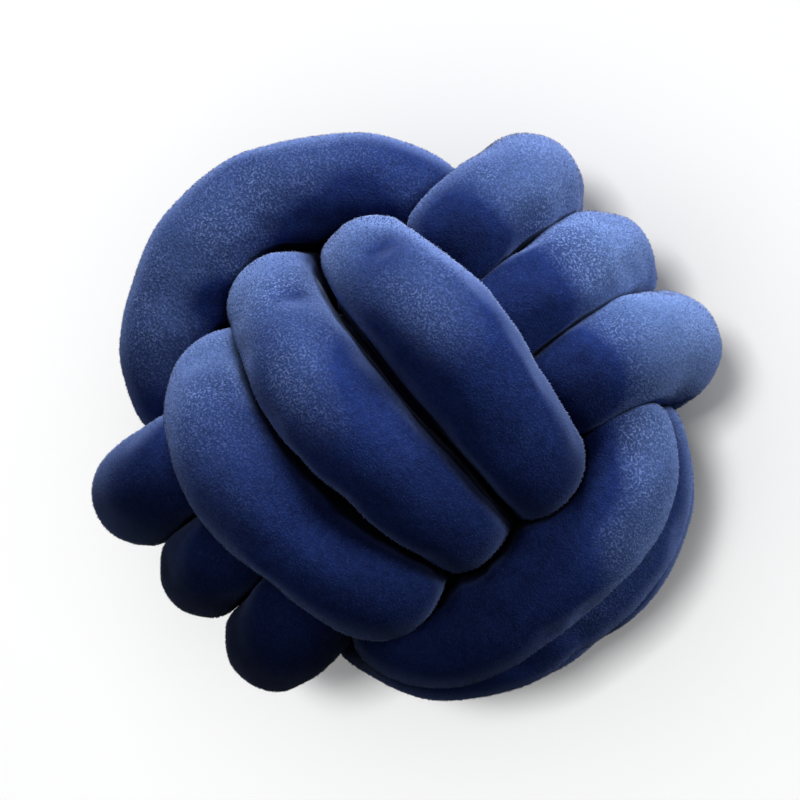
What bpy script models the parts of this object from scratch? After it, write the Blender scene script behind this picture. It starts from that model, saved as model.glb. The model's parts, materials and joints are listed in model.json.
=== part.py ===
# Knot cushion: one long plush tube, filled with fibre and tied into a ball knot.
# The tube goes round the ball three times in each of three directions, every set of
# turns passing over the next set and under the one before, and its two ends are sewn
# together in the middle of the ball, where they don't show.
#
# Metres, +Z up. The cushion rests on z = 0 on its three bottom turns, and the three
# turns on top of it run along X.

import math

import bmesh
import bpy
import numpy as np
from mathutils.bvhtree import BVHTree

# ---- Driving dimensions -------------------------------------------------------------

TUBE_RADIUS = 0.0297  # of the filled tube where nothing presses on it
CORE_RADIUS = 0.0480  # how far the fill swells into the empty middle of the knot
SWELL_FROM = 1 / 6  # share by which the skin has to face the middle before it swells
TIGHTEST = 0.9  # share of a bend's radius that the skin may reach on its inner side
OWN_STRETCH = 1.7  # in tube radii: no two rings that are nearer along the tube press
SEAM_GAP = 0.0012  # left between two stretches of tube that press on each other
SOFTNESS = 0.0035  # how widely the tube rounds off where it is pressed flat
REST_PRESS = 0.0070  # how far the bottom turns are flattened where they rest
REST_REACH = 0.1090  # from the middle of the ball down to the middle of a bottom turn
SQUARENESS = 2.5  # of a turn's outline, where 2 is an ellipse

RINGS = 372  # sections along the whole tube
SIDES = 16  # points round each section
POINTS_PER_TURN = 48  # of the route before it settles
ROUTE_PASSES = 12  # of smoothing before it settles

PLUSH_COLOUR = (0.035, 0.075, 0.29)  # navy blue

# One row for each set of turns. A turn crosses the face of the ball at +over, dives at
# +along under the next set, crosses the face at -over and dives at -along. The shifts
# move it along on the near face and on the far one.
SETS = (
    # name   along      beside     over       shifts
    ("top", (1, 0, 0), (0, 1, 0), (0, 0, 1), (0.000, 0.000)),
    ("end", (0, 1, 0), (0, 0, 1), (1, 0, 0), (0.016, -0.005)),
    ("side", (0, 0, 1), (1, 0, 0), (0, 1, 0), (0.000, 0.000)),
)

# One row for each turn, in the order in which the tube is laid. A turn comes up inside,
# crosses the near face, dives and crosses the far face. Its places are measured across
# the set, and its reaches from the middle of the ball to the middle of the tube.
TURNS = (
    #       ------------- place -------------  ------------- reach --------------
    # set     up      near    dive    far      up     near   dive   far
    ("top", (0.050, 0.051, 0.038, 0.036), (0.046, 0.112, 0.081, REST_REACH)),
    ("top", (-0.003, -0.010, -0.002, -0.012), (0.065, 0.116, 0.073, 0.114)),
    ("top", (-0.056, -0.063, -0.033, -0.060), (0.038, 0.108, 0.088, REST_REACH)),
    ("end", (0.053, 0.066, 0.036, 0.038), (0.073, 0.102, 0.092, 0.125)),
    ("end", (0.018, 0.014, 0.000, -0.013), (0.066, 0.124, 0.090, 0.125)),
    ("end", (-0.018, -0.038, -0.036, -0.064), (0.062, 0.133, 0.090, 0.122)),
    ("side", (0.055, 0.062, 0.042, 0.046), (0.066, 0.123, 0.066, 0.119)),
    ("side", (0.027, 0.010, 0.004, -0.002), (0.066, 0.120, 0.066, 0.124)),
    ("side", (-0.022, -0.045, -0.032, -0.053), (0.066, 0.120, 0.066, 0.129)),
)

TRIM_SHARE = 0.06  # share of a turn that is left off where a set starts and ends inside
PASS_POINT = (-0.008, -0.030, -0.002)  # along, beside, over: from a set to the next

# How the skin makes room where it would still cut through itself.
CLEARANCE = 0.0004  # kept free round the skin when it is tested
GIVE_STEP = 0.0005  # how far it draws in at a time
GIVE_ROUNDS = 60

# How the turns find room for each other inside the ball.
SETTLE_STEPS = 260
SETTLE_SPACING = 0.050  # stretches of tube that are closer than this push each other
SETTLE_APART = 1.6  # in spacings: and only where they are further than this along the tube
SETTLE_PUSH = 0.10  # share of what is missing that one step makes up
OUTER_GRIP = 0.20  # how firmly a stretch on a face keeps its place
INNER_GRIP = 0.001
GRIP_FROM = 0.060  # distance from the middle of the ball where the grip starts
GRIP_OVER = 0.030  # and the distance over which it grows

# ---- The route of the tube ----------------------------------------------------------


def smooth_step(value):
    t = np.clip(value, 0.0, 1.0)
    return t * t * (3.0 - 2.0 * t)


def signed_power(value, power):
    return np.sign(value) * np.abs(value) ** power


def set_of_turns(name, along, beside, over, shifts):
    """Points along the middle of one set's turns. Turn n runs from w = n to n + 1."""
    rows = [row for row in TURNS if row[0] == name]
    places = np.concatenate([row[1] for row in rows])
    reaches = np.concatenate([row[2] for row in rows])

    w = np.linspace(TRIM_SHARE, len(rows) - TRIM_SHARE, POINTS_PER_TURN * len(rows))
    angle = 2.0 * math.pi * w
    quarter = 0.25 * np.arange(len(places))
    place = np.interp(w, quarter, places)
    dive_reach = np.interp(w, quarter[::2], reaches[::2])
    face_reach = np.interp(w, quarter[1::2], reaches[1::2])

    rise = np.sin(angle)
    x = shifts[0] * np.clip(rise, 0.0, 1.0) + shifts[1] * np.clip(-rise, 0.0, 1.0)
    x = x - dive_reach * signed_power(np.cos(angle), 2.0 / SQUARENESS)
    z = face_reach * signed_power(rise, 2.0 / SQUARENESS)
    return np.outer(x, along) + np.outer(place, beside) + np.outer(z, over)


def whole_route():
    """The closed line down the middle of the tube, before it settles."""
    stretches = []
    for name, along, beside, over, shifts in SETS:
        stretches.append(set_of_turns(name, along, beside, over, shifts))
        stretches.append(np.array([PASS_POINT]) @ np.array([along, beside, over], float))
    return np.concatenate(stretches)


def length_of(points):
    return np.linalg.norm(points - np.roll(points, 1, 0), axis=1).sum()


def evenly_spaced(points, count):
    """The closed line through the points, cut into equal steps."""
    closed = np.vstack([points, points[:1]])
    step = np.linalg.norm(np.diff(closed, axis=0), axis=1)
    gone = np.concatenate([[0.0], np.cumsum(step)])
    wanted = np.linspace(0.0, gone[-1], count, endpoint=False)
    return np.stack([np.interp(wanted, gone, closed[:, k]) for k in range(3)], axis=1)


def smoothed(points, passes):
    for _ in range(passes):
        points = 0.5 * points + 0.25 * (np.roll(points, 1, 0) + np.roll(points, -1, 0))
    return points


def apart_along(points):
    """Distance along the closed tube between every two of its points."""
    count = len(points)
    index = np.arange(count)
    gap = np.abs(index[:, None] - index[None, :])
    return np.minimum(gap, count - gap) * (length_of(points) / count)


def settle(points):
    """Lets the turns push each other apart inside, as the fill does in a real knot."""
    home = points.copy()
    far = np.linalg.norm(home, axis=1)
    grip = smooth_step((far - GRIP_FROM) / GRIP_OVER)
    grip = (INNER_GRIP + (OUTER_GRIP - INNER_GRIP) * grip)[:, None]
    separate = apart_along(points) > SETTLE_APART * SETTLE_SPACING
    for _ in range(SETTLE_STEPS):
        away = points[:, None, :] - points[None, :, :]
        distance = np.linalg.norm(away, axis=2) + 1e-9
        missing = np.where(separate, SETTLE_SPACING - distance, 0.0)
        push = (away * (np.clip(missing, 0.0, None) / distance)[:, :, None]).sum(axis=1)
        points = points + SETTLE_PUSH * push + grip * (home - points)
        points = smoothed(points, 1)
    return points


# ---- The tube's skin ----------------------------------------------------------------


def soft_least(a, b, softness):
    """The smaller of two distances, rounded off where they are nearly equal."""
    h = np.clip(0.5 + 0.5 * (b - a) / softness, 0.0, 1.0)
    return b * (1 - h) + a * h - softness * h * (1 - h)


def pressed_reach(route, rays):
    """How far the skin reaches from the middle of the tube along every ray."""
    inward = -route / (np.linalg.norm(route, axis=1, keepdims=True) + 1e-9)
    facing = np.einsum("nsk,nk->ns", rays, inward)
    swell = smooth_step((facing - SWELL_FROM) / (1.0 - SWELL_FROM))
    free = TUBE_RADIUS + (CORE_RADIUS - TUBE_RADIUS) * swell

    separate = apart_along(route) > OWN_STRETCH * TUBE_RADIUS
    step = length_of(route) / len(route)
    bend = (np.roll(route, 1, 0) - 2 * route + np.roll(route, -1, 0)) / step**2
    reach = np.empty(rays.shape[:2])
    for n in range(len(route)):
        others = route[separate[n]] - route[n]
        toward = np.maximum(rays[n] @ others.T, 1e-6)
        limit = ((others**2).sum(axis=1) / (2 * toward)).min(axis=1) - SEAM_GAP / 2
        tight = np.maximum(rays[n] @ bend[n], 1e-6)
        limit = np.minimum(limit, TIGHTEST / tight)
        reach[n] = soft_least(free[n], limit, 2 * SOFTNESS)
    return reach


def round_tube(name, route):
    """The tube before anything presses on it, as a curve made into a mesh."""
    curve = bpy.data.curves.new(name, "CURVE")
    curve.dimensions = "3D"
    curve.bevel_depth = TUBE_RADIUS
    curve.bevel_resolution = (SIDES - 4) // 2
    curve.twist_mode = "MINIMUM"
    spline = curve.splines.new("POLY")
    spline.points.add(len(route) - 1)
    spline.points.foreach_set("co", np.c_[route, np.ones(len(route))].ravel())
    spline.use_cyclic_u = True
    holder = bpy.data.objects.new(name + "_line", curve)
    bpy.context.scene.collection.objects.link(holder)
    graph = bpy.context.evaluated_depsgraph_get()
    mesh = bpy.data.meshes.new_from_object(holder.evaluated_get(graph))
    mesh.name = name
    bpy.data.objects.remove(holder)
    bpy.data.curves.remove(curve)
    work = bmesh.new()
    work.from_mesh(mesh)
    bmesh.ops.triangulate(work, faces=work.faces, quad_method="FIXED")
    work.to_mesh(mesh)
    work.free()
    return mesh


def crossing_points(skin, faces):
    """The points of the skin whose faces cut through faces that they don't touch."""
    tree = BVHTree.FromPolygons(skin.reshape(-1, 3).tolist(), faces, all_triangles=True)
    found = set()
    for a, b in tree.overlap(tree):
        if a < b and not set(faces[a]) & set(faces[b]):
            found.update(faces[a], faces[b])
    return sorted(found)


def press_skin(mesh, route):
    """Moves every point of the skin to where the fill can push it."""
    corners = np.empty(len(mesh.vertices) * 3)
    mesh.vertices.foreach_get("co", corners)
    skin = corners.reshape(len(route), SIDES, 3)
    middle = skin.mean(axis=1, keepdims=True)
    rays = skin - middle
    rays /= np.linalg.norm(rays, axis=2, keepdims=True)
    reach = pressed_reach(middle[:, 0, :], rays)
    faces = [tuple(face.vertices) for face in mesh.polygons]
    for _ in range(GIVE_ROUNDS):
        points = crossing_points(middle + rays * (reach + CLEARANCE)[:, :, None], faces)
        if not points:
            break
        reach.ravel()[points] -= GIVE_STEP
    skin = middle + rays * reach[:, :, None]
    lowest = REST_PRESS - REST_REACH - TUBE_RADIUS
    skin[:, :, 2] = np.maximum(skin[:, :, 2], lowest)
    span = (skin.max(axis=(0, 1)) + skin.min(axis=(0, 1))) / 2
    skin -= (span[0], span[1], lowest)
    mesh.vertices.foreach_set("co", skin.ravel())
    mesh.update()


def plush(colour):
    material = bpy.data.materials.new("plush")
    material.use_nodes = True
    shader = material.node_tree.nodes["Principled BSDF"]
    shader.inputs["Base Color"].default_value = (*colour, 1.0)
    shader.inputs["Roughness"].default_value = 0.9
    shader.inputs["Metallic"].default_value = 0.0
    return material


def main():
    for obj in list(bpy.data.objects):
        bpy.data.objects.remove(obj)
    collection = bpy.data.collections.new("knot_cushion")
    bpy.context.scene.collection.children.link(collection)

    route = smoothed(evenly_spaced(whole_route(), RINGS * 2), ROUTE_PASSES)
    route = settle(evenly_spaced(route, RINGS))
    route = evenly_spaced(route, RINGS)
    mesh = round_tube("knotted_tube", route)
    press_skin(mesh, route)
    mesh.materials.append(plush(PLUSH_COLOUR))
    mesh.shade_smooth()
    tube = bpy.data.objects.new("knotted_tube", mesh)
    collection.objects.link(tube)
    return route


if __name__ == "__main__":
    main()
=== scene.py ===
import json
import math

import bpy
import numpy as np
from mathutils import Matrix, Vector, noise
from mathutils.bvhtree import BVHTree

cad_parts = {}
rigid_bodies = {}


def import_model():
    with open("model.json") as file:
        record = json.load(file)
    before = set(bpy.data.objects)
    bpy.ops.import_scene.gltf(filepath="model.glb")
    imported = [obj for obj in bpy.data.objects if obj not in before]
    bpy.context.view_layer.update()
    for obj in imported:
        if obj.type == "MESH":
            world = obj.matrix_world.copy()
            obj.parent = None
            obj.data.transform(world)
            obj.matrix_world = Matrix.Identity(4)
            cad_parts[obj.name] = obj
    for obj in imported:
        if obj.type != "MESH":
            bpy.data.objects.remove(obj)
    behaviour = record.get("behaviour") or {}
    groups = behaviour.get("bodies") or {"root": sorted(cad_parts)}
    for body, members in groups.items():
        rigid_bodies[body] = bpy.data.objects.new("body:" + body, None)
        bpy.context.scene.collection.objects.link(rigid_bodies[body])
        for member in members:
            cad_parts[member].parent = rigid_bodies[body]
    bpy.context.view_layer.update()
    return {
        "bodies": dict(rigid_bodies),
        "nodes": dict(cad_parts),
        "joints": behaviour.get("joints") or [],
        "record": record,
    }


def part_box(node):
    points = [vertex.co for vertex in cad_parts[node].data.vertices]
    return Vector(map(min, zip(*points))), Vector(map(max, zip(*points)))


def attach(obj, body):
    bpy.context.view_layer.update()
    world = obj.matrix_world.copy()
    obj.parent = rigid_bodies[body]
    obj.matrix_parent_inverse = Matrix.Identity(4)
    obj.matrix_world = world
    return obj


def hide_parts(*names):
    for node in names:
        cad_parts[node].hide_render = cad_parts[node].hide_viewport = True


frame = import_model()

# Knot cushion: one long plush tube, filled with fibre and tied into a ball knot, seen
# from above as it lies on a pale floor. Metres, +Z up, the top turns run along X.

print("frame loaded, nodes:", sorted(frame["nodes"]))


def toLinear(hexColour):
    values = [int(hexColour[k:k + 2], 16) / 255 for k in (1, 3, 5)]
    linear = [v / 12.92 if v <= 0.04045 else ((v + 0.055) / 1.055) ** 2.4 for v in values]
    return (*linear, 1.0)


def addNode(tree, kind, inputs=None, **settings):
    node = tree.nodes.new(kind)
    for name, value in settings.items():
        setattr(node, name, value)
    for name, value in (inputs or {}).items():
        if isinstance(value, bpy.types.NodeSocket):
            tree.links.new(value, node.inputs[name])
        else:
            node.inputs[name].default_value = value
    return node


def valuesOf(items, field, width=1, kind=float):
    values = np.empty(len(items) * width, kind)
    items.foreach_get(field, values)
    return values.reshape(-1, width) if width > 1 else values


def smoothStep(value):
    t = np.clip(value, 0.0, 1.0)
    return t * t * (3.0 - 2.0 * t)


def normalised(vectors):
    return vectors / (np.linalg.norm(vectors, axis=-1, keepdims=True) + 1e-12)


camera = {
    "distance": 1.06,  # from the middle of the ball
    "leanX": 0.09,  # how far it leans off the upright, for 1 upwards
    "leanY": 0.10,
    "turn": 50.0,  # degrees from +Y to the picture's up
    "lens": 94.0,  # mm
    "sensor": 36.0,
    "pictureSide": 800,  # px
    "ballMiddle": (402, 418),  # px from the picture's left and top
}


def makeCamera(c, middle):
    back = Vector((c["leanX"], c["leanY"], 1.0)).normalized()
    turn = math.radians(c["turn"])
    up = Vector((-math.sin(turn), math.cos(turn), 0.0))
    up = (up - up.dot(back) * back).normalized()
    right = up.cross(back)
    perPixel = c["distance"] * c["sensor"] / c["lens"] / c["pictureSide"]
    offRight = (c["ballMiddle"][0] - c["pictureSide"] / 2) * perPixel
    offUp = (c["pictureSide"] / 2 - c["ballMiddle"][1]) * perPixel
    place = middle + back * c["distance"] - right * offRight - up * offUp
    data = bpy.data.cameras.new("camera")
    data.lens = c["lens"]
    data.sensor_width = c["sensor"]
    obj = bpy.data.objects.new("camera", data)
    bpy.context.scene.collection.objects.link(obj)
    turned = Matrix((right, up, back)).transposed().to_4x4()
    obj.matrix_world = Matrix.Translation(place) @ turned
    bpy.context.scene.camera = obj


ballMiddle = Vector((0.0, 0.0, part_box("knotted_tube")[1][2] / 2))
makeCamera(camera, ballMiddle)
print("camera made")


# The route of the tube and its pressed skin are worked out as the solid has them.
knot = {
    "tubeRadius": 0.0297,
    "coreRadius": 0.0480,  # how far the fill swells into the empty middle
    "swellFrom": 1 / 6,  # share by which the skin has to face the middle before it swells
    "tightest": 0.9,  # share of a bend's radius that the skin may reach on its inner side
    "ownStretch": 1.7,  # in tube radii: no two rings that are nearer along the tube press
    "pressFrom": 4.0,  # in core radii: nothing farther off presses on a ring
    # of the top, end and side turns: the gap between two that press on each other, which is
    # below nothing where cloth sinks into cloth, and how widely a pressed stretch rounds off
    "seamGaps": (0.0016, -0.0012, -0.0012),
    "softness": (0.0046, 0.0030, 0.0018),
    "restPress": 0.0070,  # how far the bottom turns are flattened
    "restReach": 0.1090,  # from the ball's middle down to the middle of a bottom turn
    "squareness": 2.5,  # of a turn's outline, 2 is an ellipse
    "trimShare": 0.06,  # share of a turn left off where a set starts and ends
    "pointsPerTurn": 48,
    "routePasses": 12,
    "settleRings": 372,
    "settleSteps": 260,
    "settleSpacing": 0.050,
    "settleApart": 1.6,
    "settlePush": 0.10,
    "outerGrip": 0.20,
    "innerGrip": 0.001,
    "gripFrom": 0.060,
    "gripOver": 0.030,
    "passPoint": (-0.008, -0.030, -0.002),  # from one set to the next, inside
    # name, along, beside, over, shifts along on the near and on the far face
    "sets": (
        ("top", (1, 0, 0), (0, 1, 0), (0, 0, 1), (0.000, 0.000)),
        ("end", (0, 1, 0), (0, 0, 1), (1, 0, 0), (0.016, -0.005)),
        ("side", (0, 0, 1), (1, 0, 0), (0, 1, 0), (0.000, 0.000)),
    ),
    # set, places and reaches where a turn comes up, crosses the near face, dives and
    # crosses the far face
    "turns": (
        ("top", (0.050, 0.051, 0.038, 0.036), (0.046, 0.112, 0.081, 0.109)),
        ("top", (-0.003, -0.010, -0.002, -0.012), (0.065, 0.116, 0.073, 0.114)),
        ("top", (-0.056, -0.063, -0.033, -0.060), (0.038, 0.108, 0.088, 0.109)),
        ("end", (0.053, 0.066, 0.036, 0.038), (0.073, 0.102, 0.092, 0.125)),
        ("end", (0.018, 0.014, 0.000, -0.013), (0.066, 0.124, 0.090, 0.125)),
        ("end", (-0.018, -0.038, -0.036, -0.064), (0.062, 0.133, 0.090, 0.122)),
        ("side", (0.055, 0.062, 0.042, 0.046), (0.066, 0.123, 0.066, 0.119)),
        ("side", (0.027, 0.010, 0.004, -0.002), (0.066, 0.120, 0.066, 0.124)),
        ("side", (-0.022, -0.045, -0.032, -0.053), (0.066, 0.120, 0.066, 0.129)),
    ),
}


def signedPower(value, power):
    return np.sign(value) * np.abs(value) ** power


def setOfTurns(k, name, along, beside, over, shifts):
    rows = [row for row in k["turns"] if row[0] == name]
    places = np.concatenate([row[1] for row in rows])
    reaches = np.concatenate([row[2] for row in rows])
    w = np.linspace(k["trimShare"], len(rows) - k["trimShare"], k["pointsPerTurn"] * len(rows))
    angle = 2.0 * math.pi * w
    quarter = 0.25 * np.arange(len(places))
    place = np.interp(w, quarter, places)
    diveReach = np.interp(w, quarter[::2], reaches[::2])
    faceReach = np.interp(w, quarter[1::2], reaches[1::2])
    power = 2.0 / k["squareness"]
    rise = np.sin(angle)
    x = shifts[0] * np.clip(rise, 0.0, 1.0) + shifts[1] * np.clip(-rise, 0.0, 1.0)
    x = x - diveReach * signedPower(np.cos(angle), power)
    z = faceReach * signedPower(rise, power)
    return np.outer(x, along) + np.outer(place, beside) + np.outer(z, over)


def lengthOf(points):
    return np.linalg.norm(points - np.roll(points, 1, 0), axis=1).sum()


def evenlySpaced(points, count):
    closed = np.vstack([points, points[:1]])
    gone = np.concatenate([[0.0], np.cumsum(np.linalg.norm(np.diff(closed, axis=0), axis=1))])
    wanted = np.linspace(0.0, gone[-1], count, endpoint=False)
    return np.stack([np.interp(wanted, gone, closed[:, k]) for k in range(3)], axis=1)


def smoothed(points, passes):
    for _ in range(passes):
        points = 0.5 * points + 0.25 * (np.roll(points, 1, 0) + np.roll(points, -1, 0))
    return points


def apartAlong(points):
    index = np.arange(len(points))
    gap = np.abs(index[:, None] - index[None, :])
    return np.minimum(gap, len(points) - gap) * (lengthOf(points) / len(points))


def settled(points, k):
    home = points.copy()
    far = np.linalg.norm(home, axis=1)
    grip = smoothStep((far - k["gripFrom"]) / k["gripOver"])
    grip = (k["innerGrip"] + (k["outerGrip"] - k["innerGrip"]) * grip)[:, None]
    separate = apartAlong(points) > k["settleApart"] * k["settleSpacing"]
    for _ in range(k["settleSteps"]):
        away = points[:, None, :] - points[None, :, :]
        distance = np.linalg.norm(away, axis=2) + 1e-9
        missing = np.where(separate, k["settleSpacing"] - distance, 0.0)
        push = (away * (np.clip(missing, 0.0, None) / distance)[:, :, None]).sum(axis=1)
        points = points + k["settlePush"] * push + grip * (home - points)
        points = smoothed(points, 1)
    return points


def routeOfTube(k):
    stretches = []
    for name, along, beside, over, shifts in k["sets"]:
        stretches.append(setOfTurns(k, name, along, beside, over, shifts))
        stretches.append(np.array([k["passPoint"]]) @ np.array([along, beside, over], float))
    line = np.concatenate(stretches)
    count = k["settleRings"]
    line = smoothed(evenlySpaced(line, count * 2), k["routePasses"])
    line = settled(evenlySpaced(line, count), k)
    return evenlySpaced(line, count)


def finerLine(points, count):  # the smoothest closed line through all the points
    waves = np.fft.rfft(points, axis=0)
    return np.fft.irfft(waves, count, axis=0) * (count / len(points))


route = routeOfTube(knot)
print("route settled, tube length in metres:", round(lengthOf(route), 3))


# Polyester plush, knitted and sheared to a short pile: it has no gloss. Its colour has painted
# sheen where the plush turns away from view, painted shade in the grooves, and patches painted
# lighter and darker, mostly painted light and shade and in places the stroke of the pile.
plushLook = {
    "deep": "#0C173E",  # down in the pile
    "body": "#1D326D",
    "tips": "#8297CC",
    "paintedGrooveShade": "#060C22",  # painted shade where two stretches meet
    "side": "#7890CC",  # painted sheen where the plush turns away from view
    "paintedLightAndBrushed": "#708EC4",  # patches painted lighter: painted light, in places also pile stroked towards the light
    "paintedLightAndBrushedShare": 0.40,
    "paintedRimHighlight": "#9AA9D8",  # painted rim highlight along the outlines
    "sheen": "#A9BFF0",
    "sheenWeight": 0.02,
    "sheenRoughness": 0.35,
    "roughness": 0.88,
    "specular": 0.04,
    "tipShare": 0.22,
    "bumpMm": 0.55,
    "streakRise": 0.6,  # height of the streaks for 1 of the tufts
    # pitch in mm, detail, roughness and distortion of the tufts that the pile falls into,
    # drawn twice as coarse as they are so that they show, of streaks and of patches
    "tufts": (1.1, 2.0, 0.60, 0.0),
    "streaks": (4.0, 3.0, 0.55, 0.6),
    "patches": (34.0, 2.0, 0.50, 0.3),
    # each from two values of what drives it to two values of what it gives
    "tuftTops": (0.50, 0.64, 0.0, 1.0),
    "lightPatches": (0.36, 0.64, 0.25, 1.0),
    "specks": (-0.02, 0.35, 0.02, 0.40),  # by the stroke and the painted light
    "mottle": (0.36, 0.64, -0.45, 0.45),  # the pile splits into light tufts and dark gaps, more where it is stroked and painted light
    "grooveShadeByOpenSky": (0.02, 0.22, 0.0, 1.0),  # painted shade in the grooves, by the share of open sky
    "sideGlow": (0.34, 1.0, 0.0, 0.60),  # painted sheen, by how far the plush turns away
    # painted rim highlight, by how far the plush turns away
    "edgeGlow": (0.84, 1.0, 0.0, 0.60),
}
noiseInputs = ("Scale", "Detail", "Roughness", "Distortion")
rangeInputs = ("From Min", "From Max", "To Min", "To Max")


def plushColour(tree, look, napAndPaintedLight):  # the pile's colour, its height, and how far it splits
    place = addNode(tree, "ShaderNodeTexCoord").outputs["Object"]
    noises = []
    for name in ("tufts", "streaks", "patches"):
        pitch, *rest = look[name]
        inputs = dict(zip(noiseInputs, (1000 / pitch, *rest)), Vector=place)
        noises.append(addNode(tree, "ShaderNodeTexNoise", inputs).outputs["Fac"])
    tuft, streak, patch = noises
    driven = {"tuftTops": tuft, "lightPatches": patch, "specks": napAndPaintedLight, "mottle": tuft}
    ranges = []
    for name, value in driven.items():
        inputs = dict(zip(rangeInputs, look[name]), Value=value)
        ranges.append(addNode(tree, "ShaderNodeMapRange", inputs).outputs["Result"])
    tops, lightPatch, specksByNapAndLight, split = ranges
    # Light specks of the pile's tips: partly the tips' own colour, partly painted highlight, more
    # where light is painted on.
    specks = addNode(tree, "ShaderNodeMath", {0: tops, 1: lightPatch}, operation="MULTIPLY")
    speckle = addNode(tree, "ShaderNodeMath", {
        0: specks.outputs[0], 1: specksByNapAndLight,
    }, operation="MULTIPLY").outputs[0]
    body = addNode(tree, "ShaderNodeMix", {
        "Factor": streak, 6: toLinear(look["deep"]), 7: toLinear(look["body"]),
    }, data_type="RGBA").outputs[2]
    lit = addNode(tree, "ShaderNodeMix", {
        "Factor": speckle, 6: body, 7: toLinear(look["tips"]),
    }, data_type="RGBA").outputs[2]
    rise = addNode(tree, "ShaderNodeMath", {
        0: streak, 1: look["streakRise"], 2: tuft,
    }, operation="MULTIPLY_ADD").outputs[0]
    mottle = addNode(tree, "ShaderNodeMath", {
        0: split, 1: specksByNapAndLight, 2: 1.0,
    }, operation="MULTIPLY_ADD").outputs[0]
    return lit, rise, mottle


def makePlush(look):
    material = bpy.data.materials.new("plushKnittedPolyester")
    material.use_nodes = True
    tree = material.node_tree
    tree.nodes.clear()
    napAndPaintedLight, up, opened = [
        addNode(tree, "ShaderNodeAttribute", attribute_name=name).outputs["Fac"]
        for name in ("napAndPaintedLight", "tip", "openness")
    ]
    lit, rise, mottle = plushColour(tree, look, napAndPaintedLight)
    turned = addNode(tree, "ShaderNodeLayerWeight", {"Blend": 0.5}).outputs["Facing"]
    ranges = []
    # masks for the painted groove shade, the painted sheen and the painted rim highlight
    for name, value in (("grooveShadeByOpenSky", opened), ("sideGlow", turned), ("edgeGlow", turned)):
        inputs = dict(zip(rangeInputs, look[name]), Value=value)
        node = addNode(tree, "ShaderNodeMapRange", inputs, interpolation_type="SMOOTHSTEP")
        ranges.append(node.outputs["Result"])
    free, sideGlow, edgeGlow = ranges
    tipShare = addNode(tree, "ShaderNodeMath", {
        0: up, 1: look["tipShare"],
    }, operation="MULTIPLY").outputs[0]
    freeGlow = addNode(tree, "ShaderNodeMath", {
        0: sideGlow, 1: free,
    }, operation="MULTIPLY").outputs[0]
    # patches painted lighter: painted light, in places the stroke of the pile
    paintedLightAndBrushed = addNode(tree, "ShaderNodeMath", {
        0: napAndPaintedLight, 1: look["paintedLightAndBrushedShare"],
    }, operation="MULTIPLY", use_clamp=True).outputs[0]
    colour = addNode(tree, "ShaderNodeMix", {
        "Factor": tipShare, 6: lit, 7: toLinear(look["tips"]),
    }, data_type="RGBA").outputs[2]
    # painted shade in the grooves, where little open sky is seen
    colour = addNode(tree, "ShaderNodeMix", {
        "Factor": free, 6: toLinear(look["paintedGrooveShade"]), 7: colour,
    }, data_type="RGBA").outputs[2]
    # painted sheen at the sides, painted rim highlight at the outlines, and patches painted
    # lighter
    for share, name in ((freeGlow, "side"), (edgeGlow, "paintedRimHighlight"), (paintedLightAndBrushed, "paintedLightAndBrushed")):
        colour = addNode(tree, "ShaderNodeMix", {
            "Factor": share, 6: colour, 7: toLinear(look[name]),
        }, data_type="RGBA").outputs[2]
    # patches painted darker: painted shade, in places the stroke of the pile
    paintedShadeAndNap = addNode(tree, "ShaderNodeMath", {0: napAndPaintedLight, 1: 1.0}, operation="ADD", use_clamp=True)
    scale = addNode(tree, "ShaderNodeMath", {
        0: paintedShadeAndNap.outputs[0], 1: mottle,
    }, operation="MULTIPLY")
    stroked = addNode(tree, "ShaderNodeVectorMath", {
        0: colour, "Scale": scale.outputs[0],
    }, operation="SCALE").outputs[0]
    bump = addNode(tree, "ShaderNodeBump", {
        "Height": rise, "Strength": 1.0, "Distance": look["bumpMm"] / 1000,
    }).outputs["Normal"]
    shader = addNode(tree, "ShaderNodeBsdfPrincipled", {
        "Base Color": stroked, "Roughness": look["roughness"], "Normal": bump,
        "Specular IOR Level": look["specular"], "Sheen Weight": look["sheenWeight"],
        "Sheen Roughness": look["sheenRoughness"], "Sheen Tint": toLinear(look["sheen"]),
    })
    addNode(tree, "ShaderNodeOutputMaterial", {"Surface": shader.outputs[0]})
    return material


plush = makePlush(plushLook)
print("plush made")


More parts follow.
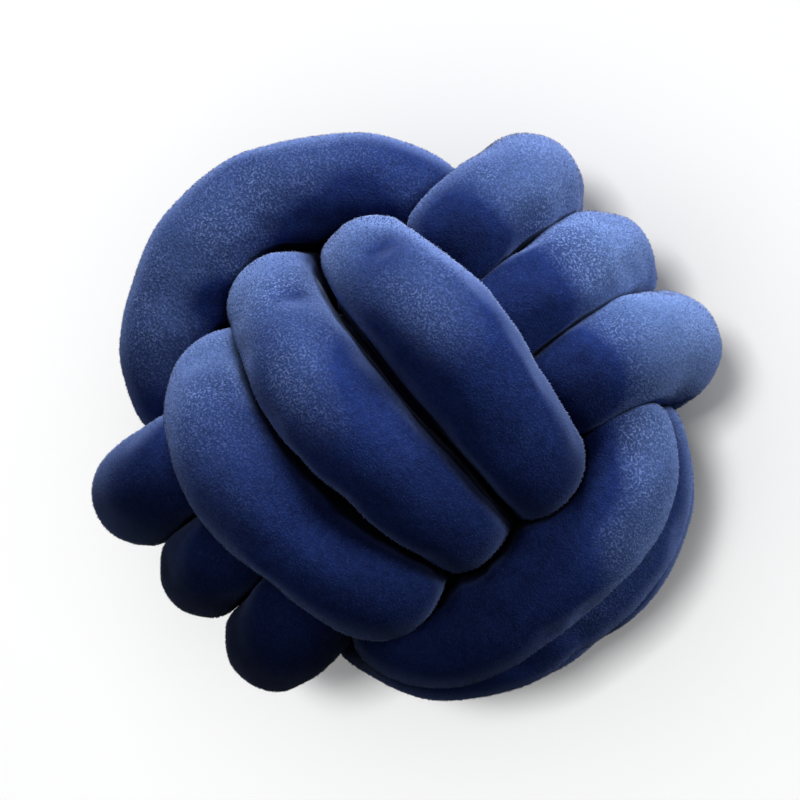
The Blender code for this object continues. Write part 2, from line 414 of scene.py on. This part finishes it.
tube = {
    "rings": 1700,
    "sides": 56,
    "drawIn": 0.0010,  # the plush starts this far inside the solid, and then billows
    "lumps": ((0.0018, 22.0, 3.0), (0.0007, 55.0, 17.0)),  # height, per metre, shift
    # dents in the filling: place, radius, depth
    "dents": (
        ((-0.038, 0.116, 0.209), 0.011, 0.0028),
        ((-0.027, 0.110, 0.208), 0.011, 0.0024),
        ((-0.069, 0.008, 0.238), 0.010, 0.0020),
        ((-0.056, 0.054, 0.249), 0.011, 0.0022),
        ((0.004, 0.122, 0.209), 0.013, 0.0022),
        ((0.040, 0.108, 0.215), 0.014, 0.0020),
        ((0.090, 0.080, 0.211), 0.007, 0.0014),
        ((-0.125, 0.020, 0.196), 0.018, 0.0022),
        ((0.020, -0.050, 0.268), 0.020, 0.0016),
        ((0.050, 0.045, 0.260), 0.018, 0.0016),
    ),
    # rays that look for open sky: their start above the plush, their leans off the upright,
    # their number at each lean, and a slanted direction from which they turn
    "rayStart": 0.0015,
    "rayLeans": (0.6, 1.4),
    "rayCount": 6,
    "rayAcross": (0.31, 0.52, 0.79),
    "napAndPaintedLightLimits": (-0.8, 1.0),
    # where light and shade are painted on, in places also where the pile was stroked: middle of
    # the patch, its radius, how much lighter it reads
    "napAndPaintedLightPatches": (
        ((-0.118, -0.065, 0.186), 0.050, 0.20),
        ((-0.132, -0.010, 0.195), 0.050, 0.30),
        ((-0.120, 0.055, 0.194), 0.045, 0.20),
        ((-0.089, 0.094, 0.182), 0.035, -0.10),
        ((-0.085, -0.035, 0.215), 0.032, 0.60),
        ((-0.060, -0.070, 0.238), 0.030, 0.30),
        ((-0.020, -0.080, 0.255), 0.030, 0.10),
        ((-0.078, 0.010, 0.236), 0.030, 0.38),
        ((-0.066, 0.058, 0.238), 0.034, 0.60),
        ((-0.018, 0.054, 0.270), 0.024, 0.30),
        ((0.054, 0.048, 0.257), 0.016, 0.15),
        ((-0.068, 0.010, 0.238), 0.012, -0.50),
        ((-0.056, 0.054, 0.250), 0.013, -0.65),
        ((-0.016, 0.016, 0.262), 0.020, -0.40),
        ((-0.010, -0.004, 0.276), 0.025, 0.10),
        ((-0.036, -0.008, 0.268), 0.024, 0.25),
        ((0.049, 0.006, 0.262), 0.040, -0.25),
        ((0.069, -0.053, 0.246), 0.035, -0.15),
        ((-0.050, 0.122, 0.206), 0.030, 0.30),
        ((-0.035, 0.112, 0.212), 0.022, 0.30),
        ((-0.040, 0.138, 0.178), 0.030, 0.30),
        ((-0.041, 0.084, 0.221), 0.020, -0.80),
        ((-0.022, 0.106, 0.206), 0.018, -0.35),
        ((0.006, 0.130, 0.202), 0.038, 0.50),
        ((0.020, 0.142, 0.170), 0.035, 0.50),
        ((0.007, 0.105, 0.219), 0.024, -0.30),
        ((0.062, 0.124, 0.202), 0.038, 0.70),
        ((0.075, 0.138, 0.165), 0.040, 0.65),
        ((0.053, 0.091, 0.221), 0.028, -0.40),
        ((-0.055, -0.108, 0.205), 0.040, -0.40),
        ((0.000, -0.130, 0.175), 0.045, -0.55),
        ((0.055, -0.122, 0.175), 0.045, -0.55),
        ((0.080, 0.050, 0.216), 0.022, -0.40),
        ((0.116, 0.060, 0.207), 0.030, 0.40),
        ((0.090, 0.086, 0.209), 0.022, 0.55),
        ((0.099, -0.020, 0.226), 0.035, -0.35),
        ((0.112, 0.017, 0.224), 0.025, -0.25),
        ((0.130, 0.058, 0.196), 0.026, 0.40),
        ((0.140, 0.010, 0.190), 0.030, 0.20),
        ((0.102, -0.060, 0.205), 0.045, -0.15),
        ((0.074, -0.091, 0.168), 0.030, -0.70),
        ((0.078, -0.075, 0.190), 0.018, -0.50),
        ((0.003, 0.090, 0.243), 0.024, -0.35),
        ((0.045, 0.084, 0.238), 0.026, -0.35),
        ((0.082, 0.070, 0.222), 0.024, -0.35),
        ((-0.090, 0.028, 0.186), 0.016, -0.95),
        ((-0.098, -0.028, 0.187), 0.013, -0.95),
        ((-0.086, 0.052, 0.190), 0.018, -0.60),
        ((0.080, 0.010, 0.210), 0.010, -0.90),
        ((0.077, -0.026, 0.205), 0.010, -0.90),
        ((-0.072, -0.142, 0.165), 0.030, -0.35),
        ((-0.005, -0.150, 0.160), 0.035, -0.40),
        ((0.045, -0.147, 0.160), 0.035, -0.40),
    ),
}


def readMesh(obj):  # what the object looks like with its modifiers, as a plain mesh
    graph = bpy.context.evaluated_depsgraph_get()
    graph.update()
    return bpy.data.meshes.new_from_object(obj.evaluated_get(graph))


def useTree(obj, tree, values):
    modifier = obj.modifiers.new(tree.name, "NODES")
    modifier.node_group = tree
    for item in tree.interface.items_tree:
        if item.in_out == "INPUT" and item.name in values:
            modifier[item.identifier] = values[item.name]


def newTree(name, sockets):
    tree = bpy.data.node_groups.new(name, "GeometryNodeTree")
    tree.interface.new_socket("Geometry", in_out="OUTPUT", socket_type="NodeSocketGeometry")
    tree.interface.new_socket("Geometry", in_out="INPUT", socket_type="NodeSocketGeometry")
    for label, kind in sockets:
        tree.interface.new_socket(label, in_out="INPUT", socket_type="NodeSocket" + kind)
    return tree, addNode(tree, "NodeGroupInput").outputs


def endTree(tree, geometry, material):
    real = addNode(tree, "GeometryNodeRealizeInstances", {"Geometry": geometry})
    worn = addNode(tree, "GeometryNodeSetMaterial", {
        "Geometry": real.outputs[0], "Material": material,
    })
    addNode(tree, "NodeGroupOutput", {"Geometry": worn.outputs[0]})


def tubeTree():
    tree, given = newTree("tubeOnRoute", (
        ("Radius", "Float"), ("Sides", "Int"), ("Material", "Material"),
    ))
    ring = addNode(tree, "GeometryNodeCurvePrimitiveCircle", {
        "Resolution": given["Sides"], "Radius": given["Radius"],
    })
    swept = addNode(tree, "GeometryNodeCurveToMesh", {
        "Curve": given["Geometry"], "Profile Curve": ring.outputs["Curve"],
    })
    endTree(tree, swept.outputs["Mesh"], given["Material"])
    return tree


def routeCurve(name, points):
    curve = bpy.data.curves.new(name, "CURVE")
    curve.dimensions = "3D"
    curve.twist_mode = "MINIMUM"
    spline = curve.splines.new("POLY")
    spline.points.add(len(points) - 1)
    spline.points.foreach_set("co", np.c_[points, np.ones(len(points))].ravel())
    spline.use_cyclic_u = True
    obj = bpy.data.objects.new(name, curve)
    bpy.context.scene.collection.objects.link(obj)
    return obj


def softLeast(a, b, softness):
    h = np.clip(0.5 + 0.5 * (b - a) / softness, 0.0, 1.0)
    return b * (1 - h) + a * h - softness * h * (1 - h)


def pressedReach(line, rays, k):
    inward = -normalised(line)
    facing = np.einsum("nsk,nk->ns", rays, inward)
    swell = smoothStep((facing - k["swellFrom"]) / (1.0 - k["swellFrom"]))
    free = k["tubeRadius"] + (k["coreRadius"] - k["tubeRadius"]) * swell
    separate = apartAlong(line) > k["ownStretch"] * k["tubeRadius"]
    number = setAt(line, k).astype(int)
    softness = np.array(k["softness"])[number]
    seamGap = np.array(k["seamGaps"])[number]
    step = lengthOf(line) / len(line)
    bend = (np.roll(line, 1, 0) - 2 * line + np.roll(line, -1, 0)) / step**2
    reach = np.empty(rays.shape[:2])
    for n in range(len(line)):
        others = line[separate[n]] - line[n]
        others = others[(others**2).sum(axis=1) < (k["pressFrom"] * k["coreRadius"])**2]
        toward = np.maximum(rays[n] @ others.T, 1e-6)
        limit = ((others**2).sum(axis=1) / (2 * toward)).min(axis=1) - seamGap[n] / 2
        tight = np.maximum(rays[n] @ bend[n], 1e-6)
        limit = np.minimum(limit, k["tightest"] / tight)
        reach[n] = softLeast(free[n], limit, 2 * softness[n])
    return reach


def verticesOf(mesh):
    return valuesOf(mesh.vertices, "co", 3)


def setVertices(mesh, places):
    mesh.vertices.foreach_set("co", np.asarray(places, float).ravel())
    mesh.update()


def normalsOf(mesh):
    return valuesOf(mesh.vertex_normals, "vector", 3)


def cornersOf(mesh):  # the number of each face corner's vertex
    return valuesOf(mesh.loops, "vertex_index", kind=int)


def lumpAt(places, lumps):  # uneven filling
    rise = np.zeros(len(places))
    for height, perMetre, shift in lumps:
        rise += height * np.array([noise.noise(p) for p in (places * perMetre + shift).tolist()])
    return rise


def keepOnPoints(mesh, name, values):
    values = np.asarray(values, float)
    kind, field = ("FLOAT", "value") if values.ndim == 1 else ("FLOAT_VECTOR", "vector")
    mesh.attributes.new(name, kind, "POINT").data.foreach_set(field, values.ravel())


def onAllPoints(values):  # from every second point, around and along, to all
    rings, sides = values.shape[:2]
    wide = np.empty((rings * 2, sides * 2, *values.shape[2:]))
    wide[::2, ::2] = values
    wide[::2, 1::2] = (values + np.roll(values, -1, 1)) / 2
    wide[1::2] = (wide[::2] + np.roll(wide[::2], -1, 0)) / 2
    return wide


def openness(mesh, t):  # share of the rays that leave the ball, on every second point
    places = verticesOf(mesh)
    normals = normalsOf(mesh)
    faces = [tuple(face.vertices) for face in mesh.polygons]
    tree = BVHTree.FromPolygons(places.tolist(), faces)
    rings, sides = t["rings"] // 2, t["sides"] // 2
    picked = np.arange(len(places)).reshape(t["rings"], t["sides"])[::2, ::2].ravel()
    across = normalised(np.cross(normals, t["rayAcross"]))
    along = np.cross(normals, across)
    rays = [normals]
    for lean in t["rayLeans"]:
        for turn in np.linspace(0, 2 * math.pi, t["rayCount"], endpoint=False):
            rays.append(normals + lean * (math.cos(turn) * across + math.sin(turn) * along))
    share = np.zeros(len(picked))
    for ray in rays:
        starts = (places + normals * t["rayStart"])[picked]
        for n, (start, way) in enumerate(zip(starts.tolist(), ray[picked].tolist())):
            share[n] += tree.ray_cast(start, way)[0] is None
    return onAllPoints((share / len(rays)).reshape(rings, sides)).ravel()


# The plush is cut a little larger than its filling. Cloth simulation lets it billow where
# no other stretch presses on it, and a cap keeps it clear of its neighbours.
cloth = {
    "frames": 20,
    "pressure": 4.0,
    "extra": 0.018,  # by which the plush is larger than its filling
    "tension": 15.0,
    "bending": 0.15,
    "heldBelow": 0.12,  # share of open sky under which the plush is held
    "freeAbove": 0.45,
    "cap": 0.0016,
}


def billowed(places, opened, c):
    rings, sides = places.shape[:2]
    number = np.arange(rings * sides).reshape(rings, sides)
    beside = np.roll(number, -1, 1)
    corners = [number, beside, np.roll(beside, -1, 0), np.roll(number, -1, 0)]
    faces = np.stack(corners, axis=2).reshape(-1, 4)
    mesh = bpy.data.meshes.new("billow")
    mesh.from_pydata(places.reshape(-1, 3).tolist(), [], faces.tolist())
    obj = bpy.data.objects.new("billow", mesh)
    scene = bpy.context.scene
    scene.collection.objects.link(obj)
    free = smoothStep((opened.ravel() - c["heldBelow"]) / (c["freeAbove"] - c["heldBelow"]))
    held = obj.vertex_groups.new(name="held")
    for point, share in enumerate((1.0 - free).tolist()):
        held.add([point], share, "REPLACE")
    modifier = obj.modifiers.new("cloth", "CLOTH")
    modifier.point_cache.frame_end = c["frames"]
    modifier.collision_settings.use_collision = False
    settings = modifier.settings
    settings.vertex_group_mass = "held"
    settings.use_pressure = True
    settings.uniform_pressure_force = c["pressure"]
    settings.effector_weights.gravity = 0.0
    settings.shrink_min = -c["extra"]
    settings.tension_stiffness = settings.compression_stiffness = c["tension"]
    settings.bending_stiffness = c["bending"]
    for frame in range(1, c["frames"] + 1):
        scene.frame_set(frame)
    after = readMesh(obj)
    moved = verticesOf(after) - places.reshape(-1, 3)
    scene.frame_set(1)
    bpy.data.objects.remove(obj)
    far = np.linalg.norm(moved, axis=1, keepdims=True)
    print("cloth moved, middle and most in mm:", np.round(np.percentile(far, (50, 99)) * 1000, 2))
    moved = moved * (c["cap"] * np.tanh(far / c["cap"]) / (far + 1e-9)) * free[:, None]
    return moved.reshape(rings, sides, 3)


# A baked picture shows the tube unrolled, in strips one above another, three to a set of
# turns. No two places share a spot on it, and a tuft takes the spot that it stands on.
unrolled = {
    "name": "OFBake",
    "strips": 9,
    "gap": 0.06,  # empty share of a strip along each of its sides
    "tuftReach": 0.0012,  # share of the picture's width
    "tuftCorners": ((0.0, 0.0), (1.0, 0.0), (-0.5, 0.87), (-0.5, -0.87)),
}


def pastEnd(number, count):  # a face over the seam runs on past the last number
    wraps = np.ptp(number, axis=1, keepdims=True) > 1
    return np.where(wraps & (number == 0), count, number)


def unroll(mesh, t, m):
    ring, side = np.divmod(cornersOf(mesh).reshape(-1, 4), t["sides"])
    ring, side = pastEnd(ring, t["rings"]), pastEnd(side, t["sides"])
    ofStrip = math.ceil(t["rings"] / m["strips"])
    strip = ring.min(axis=1, keepdims=True) // ofStrip
    across = (strip + m["gap"] + (1 - 2 * m["gap"]) * side / t["sides"]) / m["strips"]
    places = np.stack([ring / ofStrip - strip, across], axis=2)
    mesh.uv_layers.new(name=m["name"]).data.foreach_set("uv", places.ravel())


def placeTufts(mesh, number, m):
    given = mesh.attributes[m["name"]]
    spot = valuesOf(given.data, "vector", 2).reshape(-1, len(m["tuftCorners"]), 2)
    mesh.attributes.remove(given)
    spot = spot * (1, len(knot["sets"])) - (0, number)
    spot = (spot + np.array(m["tuftCorners"]) * m["tuftReach"]).reshape(-1, 2)
    mesh.uv_layers.new(name=m["name"]).data.foreach_set("uv", spot[cornersOf(mesh)].ravel())


def softSpots(places, spots):
    total = np.zeros(len(places))
    for middle, radius, amount in spots:
        total += amount * np.exp(-((places - middle)**2).sum(axis=1) / radius**2)
    return total


def setAt(line, k):  # number of the set of turns that each point of the line belongs to
    starts = np.linspace(0, len(line), len(k["sets"]) + 1)
    number = np.searchsorted(starts, np.arange(len(line)), side="right") - 1
    return number.astype(float)


def makeTube(t, k):
    line = finerLine(route, t["rings"])
    holder = routeCurve("plushTubeRoute", line)
    values = {"Radius": k["tubeRadius"], "Sides": t["sides"], "Material": plush}
    useTree(holder, tubeTree(), values)
    mesh = readMesh(holder)
    bpy.data.objects.remove(holder)
    mesh.name = "plushTube"
    skin = verticesOf(mesh).reshape(t["rings"], t["sides"], 3)
    middle = skin.mean(axis=1, keepdims=True)
    rays = normalised(skin - middle)
    reach = pressedReach(middle[:, 0, :], rays, k) - t["drawIn"]
    skin = middle + rays * reach[:, :, None]
    lowest = k["restPress"] - k["restReach"] - k["tubeRadius"]
    setVertices(mesh, skin)
    skin = skin.reshape(-1, 3) + normalsOf(mesh) * lumpAt(skin.reshape(-1, 3), t["lumps"])[:, None]
    skin[:, 2] = np.maximum(skin[:, 2], lowest)
    span = (skin.max(axis=0) + skin.min(axis=0)) / 2
    skin -= (span[0], span[1], lowest)
    skin -= normalsOf(mesh) * softSpots(skin, t["dents"])[:, None]
    setVertices(mesh, skin)
    opened = openness(mesh, t)
    grid = (t["rings"], t["sides"])
    coarse = skin.reshape(*grid, 3)[::2, ::2]
    rise = onAllPoints(billowed(coarse, opened.reshape(grid)[::2, ::2], cloth))
    for axis in (0, 1):
        rise = rise / 2 + (np.roll(rise, 1, axis) + np.roll(rise, -1, axis)) / 4
    skin += rise.reshape(-1, 3)
    skin[:, 2] = np.maximum(skin[:, 2], 0.0)
    setVertices(mesh, skin)
    tangent = normalised(np.roll(line, -1, 0) - np.roll(line, 1, 0))
    keepOnPoints(mesh, "stroke", np.repeat(tangent, t["sides"], axis=0))
    # patches of painted light and shade, some of them also the stroke of the pile
    keepOnPoints(mesh, "napAndPaintedLight", np.clip(softSpots(skin, t["napAndPaintedLightPatches"]), *t["napAndPaintedLightLimits"]))
    keepOnPoints(mesh, "openness", opened)
    keepOnPoints(mesh, "turnSet", np.repeat(setAt(line, k), t["sides"]))
    unroll(mesh, t, unrolled)
    mesh.shade_smooth()
    obj = bpy.data.objects.new("plushTube", mesh)
    bpy.context.scene.collection.objects.link(obj)
    return obj


plushTube = makeTube(tube, knot)
print("tube made, faces:", len(plushTube.data.polygons))


# Short tufts that stand on the plush wherever it shows. Each is a slim pyramid, thicker
# than a real tuft so that it still shows, and leans the way the pile was stroked.
pile = {
    "height": 0.0009,
    "width": 0.0005,
    "sizes": (0.65, 1.2),  # the smallest and the largest tuft
    "lean": 0.90,  # along the tube, for 1 upwards
    "unruly": 0.60,
    "open": 0.30,  # share of open sky that a spot needs
    "ownShading": 0.15,  # share of its own shape in a tuft's light
    "tuftsOfSet": 49000,
    "names": ("pileOfTopTurns", "pileOfEndTurns", "pileOfSideTurns"),
}


def pileTree(p):
    tree, given = newTree("tuftsOnPlush", (
        ("Density", "Float"), ("Height", "Float"), ("Width", "Float"), ("Lean", "Float"),
        ("Unruly", "Float"), ("Open", "Float"), ("Set", "Float"), ("Seed", "Int"),
        ("Material", "Material"),
    ))
    opened = addNode(tree, "GeometryNodeInputNamedAttribute", {
        "Name": "openness",
    }, data_type="FLOAT").outputs[0]
    openEnough = addNode(tree, "FunctionNodeCompare", {
        0: opened, 1: given["Open"],
    }, data_type="FLOAT", operation="GREATER_THAN").outputs[0]
    number = addNode(tree, "GeometryNodeInputNamedAttribute", {
        "Name": "turnSet",
    }, data_type="FLOAT").outputs[0]
    ofSet = addNode(tree, "FunctionNodeCompare", {
        0: number, 1: given["Set"], "Epsilon": 0.5,
    }, data_type="FLOAT", operation="EQUAL").outputs[0]
    chosen = addNode(tree, "FunctionNodeBooleanMath", {0: openEnough, 1: ofSet}, operation="AND")
    spots = addNode(tree, "GeometryNodeDistributePointsOnFaces", {
        "Mesh": given["Geometry"], "Selection": chosen.outputs[0],
        "Density": given["Density"], "Seed": given["Seed"],
    }, distribute_method="RANDOM")
    marked = addNode(tree, "GeometryNodeStoreNamedAttribute", {
        "Geometry": spots.outputs["Points"], "Name": "ground", "Value": spots.outputs["Normal"],
    }, data_type="FLOAT_VECTOR", domain="POINT").outputs["Geometry"]
    wild = addNode(tree, "FunctionNodeRandomValue", {
        0: (-1, -1, -1), 1: (1, 1, 1), "Seed": given["Seed"],
    }, data_type="FLOAT_VECTOR").outputs[0]
    stroke = addNode(tree, "GeometryNodeInputNamedAttribute", {
        "Name": "stroke",
    }, data_type="FLOAT_VECTOR").outputs[0]
    leaning = addNode(tree, "ShaderNodeVectorMath", {
        0: stroke, 1: given["Lean"], 2: spots.outputs["Normal"],
    }, operation="MULTIPLY_ADD").outputs[0]
    way = addNode(tree, "ShaderNodeVectorMath", {
        0: wild, 1: given["Unruly"], 2: leaning,
    }, operation="MULTIPLY_ADD").outputs[0]
    stand = addNode(tree, "FunctionNodeAlignRotationToVector", {
        "Rotation": spots.outputs["Rotation"], "Vector": way,
    }, axis="Z").outputs[0]
    radius = addNode(tree, "ShaderNodeMath", {0: given["Width"], 1: 0.5}, operation="MULTIPLY")
    cone = addNode(tree, "GeometryNodeMeshCone", {
        "Vertices": 3, "Radius Bottom": radius.outputs[0], "Depth": given["Height"],
    }, fill_type="NGON")
    place = addNode(tree, "GeometryNodeInputPosition").outputs[0]
    above = addNode(tree, "ShaderNodeSeparateXYZ", {0: place}).outputs[2]
    upShare = addNode(tree, "ShaderNodeMath", {0: above, 1: given["Height"]}, operation="DIVIDE")
    tipped = addNode(tree, "GeometryNodeStoreNamedAttribute", {
        "Geometry": cone.outputs["Mesh"], "Name": "tip", "Value": upShare.outputs[0],
    }, data_type="FLOAT", domain="POINT")
    size = addNode(tree, "FunctionNodeRandomValue", {
        2: p["sizes"][0], 3: p["sizes"][1], "Seed": given["Seed"],
    }, data_type="FLOAT").outputs[1]
    tufts = addNode(tree, "GeometryNodeInstanceOnPoints", {
        "Points": marked, "Instance": tipped.outputs["Geometry"],
        "Rotation": stand, "Scale": size,
    })
    endTree(tree, tufts.outputs["Instances"], given["Material"])
    return tree


def openArea(mesh, number, least):
    opened = valuesOf(mesh.attributes["openness"].data, "value")
    sets = valuesOf(mesh.attributes["turnSet"].data, "value")
    chosen = (opened > least) & (np.abs(sets - number) < 0.5)
    share = chosen[cornersOf(mesh).reshape(-1, 4)].mean(axis=1)
    return (valuesOf(mesh.polygons, "area") * share).sum()


def shadeAsGround(mesh, p):  # a tuft takes its light much as the plush under it does
    ground = valuesOf(mesh.attributes["ground"].data, "vector", 3)
    mixed = normalised(ground + p["ownShading"] * normalsOf(mesh))
    mesh.shade_smooth()
    mesh.normals_split_custom_set_from_vertices(mixed.tolist())
    for name in [a.name for a in mesh.attributes if a.name in ("ground", "stroke", "turnSet")]:
        mesh.attributes.remove(mesh.attributes[name])


def makePileOf(number, name, tree, p):
    copy = bpy.data.objects.new(name + "Ground", plushTube.data.copy())
    bpy.context.scene.collection.objects.link(copy)
    area = openArea(copy.data, number, p["open"])
    values = {key.capitalize(): p[key] for key in ("height", "width", "lean", "unruly", "open")}
    values.update(Set=float(number), Seed=number + 1, Density=p["tuftsOfSet"] / area)
    useTree(copy, tree, {**values, "Material": plush})
    mesh = readMesh(copy)
    bpy.data.objects.remove(copy)
    mesh.name = name
    placeTufts(mesh, number, unrolled)
    shadeAsGround(mesh, p)
    obj = bpy.data.objects.new(name, mesh)
    obj.visible_shadow = False  # the plush under it casts the shadows
    bpy.context.scene.collection.objects.link(obj)
    print(name, "on square metres:", round(area, 4), "faces:", len(mesh.polygons))
    return obj


tuftTree = pileTree(pile)
piles = [makePileOf(number, name, tuftTree, pile) for number, name in enumerate(pile["names"])]
print("pile made")


litPlush = ("plushTube", *pile["names"])
studio = {
    "floor": "#EDEDED",
    "floorRoughness": 0.9,
    "floorSide": 6.0,
    "air": "#DDE6F5",
    "airStrength": 0.04,
    # name, place, side, watts, colour, what it lights
    "lights": (
        ("boardLight", (-0.34, 0.04, 3.00), 0.40, 60.0, "#FFFFFF", ("floor",)),
        ("boardFill", (-0.20, 0.00, 2.50), 3.0, 46.0, "#FFFFFF", ("floor",)),
        ("topLight", (-0.60, 0.60, 2.90), 1.2, 17.0, "#FFF0F4", litPlush),
        ("frontLight", (-0.60, -2.20, 1.90), 1.2, 10.0, "#FFFFFF", litPlush),
        ("leftLight", (-2.20, 1.50, 0.85), 1.2, 120.0, "#FFFFFF", litPlush),
        ("rightLight", (0.40, 2.70, 1.00), 1.2, 76.0, "#FFFFFF", litPlush),
    ),
}


def makeStudio(s, middle):
    half = s["floorSide"] / 2
    mesh = bpy.data.meshes.new("floor")
    corners = [(-half, -half, 0), (half, -half, 0), (half, half, 0), (-half, half, 0)]
    mesh.from_pydata(corners, [], [(0, 1, 2, 3)])
    floor = bpy.data.objects.new("floor", mesh)
    bpy.context.scene.collection.objects.link(floor)
    material = bpy.data.materials.new("matteBoard")
    material.use_nodes = True
    shader = material.node_tree.nodes["Principled BSDF"]
    shader.inputs["Base Color"].default_value = toLinear(s["floor"])
    shader.inputs["Roughness"].default_value = s["floorRoughness"]
    mesh.materials.append(material)
    floor.visible_diffuse = False
    for name, place, side, watts, colour, lit in s["lights"]:
        data = bpy.data.lights.new(name, "AREA")
        data.size = side
        data.energy = watts
        data.color = toLinear(colour)[:3]
        light = bpy.data.objects.new(name, data)
        light.location = place
        light.rotation_mode = "QUATERNION"
        light.rotation_quaternion = (middle - Vector(place)).to_track_quat("-Z", "Y")
        bpy.context.scene.collection.objects.link(light)
        only = bpy.data.collections.new(name + "Lights")
        for piece in lit:
            only.objects.link(bpy.data.objects[piece])
        light.light_linking.receiver_collection = only
    world = bpy.data.worlds.new("studioAir")
    world.use_nodes = True
    air = world.node_tree.nodes["Background"]
    air.inputs["Color"].default_value = toLinear(s["air"])
    air.inputs["Strength"].default_value = s["airStrength"]
    bpy.context.scene.world = world
    bpy.context.scene.view_settings.view_transform = "Standard"


makeStudio(studio, ballMiddle)
print("floor and lights made")


for piece in (plushTube, *piles):
    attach(piece, "root")
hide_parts("knotted_tube")
